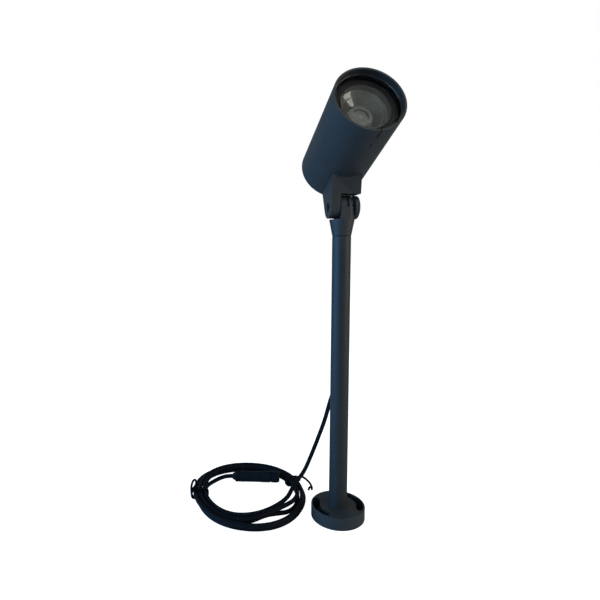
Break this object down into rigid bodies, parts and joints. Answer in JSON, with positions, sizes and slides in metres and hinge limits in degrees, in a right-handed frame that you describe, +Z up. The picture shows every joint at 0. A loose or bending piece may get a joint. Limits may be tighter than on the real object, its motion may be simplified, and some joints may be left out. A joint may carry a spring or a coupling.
{
  "type": "garden spotlight",
  "caption": "Garden spotlight: cylindrical LED head on a tilting knuckle and swivel post, straight pole, round screw-down base, coiled rubber lead with an in-line connector.",
  "frame": {"origin": "centre of the base plate's underside, on the ground", "axes": "+Z up along the pole, +X along the tilt axis towards the clamp disc, -Y the way the head aims at rest"},
  "size_m": [0.2428, 0.2633, 0.5798],
  "materials": {
    "powder_coat": "fine matt anthracite powder coat",
    "base_coat": "fine matt anthracite powder coat",
    "dark_screw": "black oxide steel",
    "steel": "stainless steel, satin",
    "black_nylon": "black moulded nylon",
    "black_rubber": "black rubber",
    "tie_black": "black coated wire",
    "clear_glass": "clear tempered glass",
    "mask_black": "matt black",
    "reflector_white": "bright satin reflector",
    "bare_aluminium": "bare aluminium",
    "holder_white": "white ceramic-filled plastic",
    "chip_yellow": "yellow phosphor",
    "driver_grey": "grey potted case",
    "wire_red": "silicone wire"
  },
  "bodies": {
    "stand": {"base_plate": "base_coat", "base_set_screw": "dark_screw", "pole_tube": "powder_coat", "cable_gland": "black_nylon", "pole_cable": "black_rubber", "swivel_bush": "black_nylon", "swivel_lock_screw": "dark_screw", "cord_lead": "black_rubber", "cord_coil": "black_rubber", "cord_tail": "black_rubber", "connector_nut": "black_nylon", "connector_body": "black_nylon", "connector_cap": "black_nylon", "tie_left": "tie_black", "tie_right": "tie_black"},
    "post": {"knuckle_post": "powder_coat"},
    "head": {"head_bracket": "powder_coat", "pivot_bolt": "dark_screw", "friction_washer": "black_nylon", "clamp_disc": "powder_coat", "head_housing": "powder_coat", "bracket_screws": "steel", "insert_lock_screw": "dark_screw", "cable_grommet": "black_rubber", "snap_ring": "steel", "front_glass": "clear_glass", "glass_gasket": "black_rubber", "glare_mask": "mask_black", "reflector": "reflector_white", "heat_sink": "bare_aluminium", "led_board": "bare_aluminium", "led_holder": "holder_white", "led_chip": "chip_yellow", "led_driver": "driver_grey", "terminal_block": "holder_white", "led_wires": "wire_red", "lamp_lead": "black_rubber"}
  },
  "joints": [
    {"name": "post_swivel", "type": "hinge", "parent": "stand", "child": "post", "pos_m": [0, 0, 0.3884], "axis": [0, 0, 1], "range_deg": [-170, 170]},
    {"name": "head_tilt", "type": "hinge", "parent": "post", "child": "head", "pos_m": [0, 0, 0.426], "axis": [1, 0, 0], "range_deg": [-65, 50]}
  ]
}
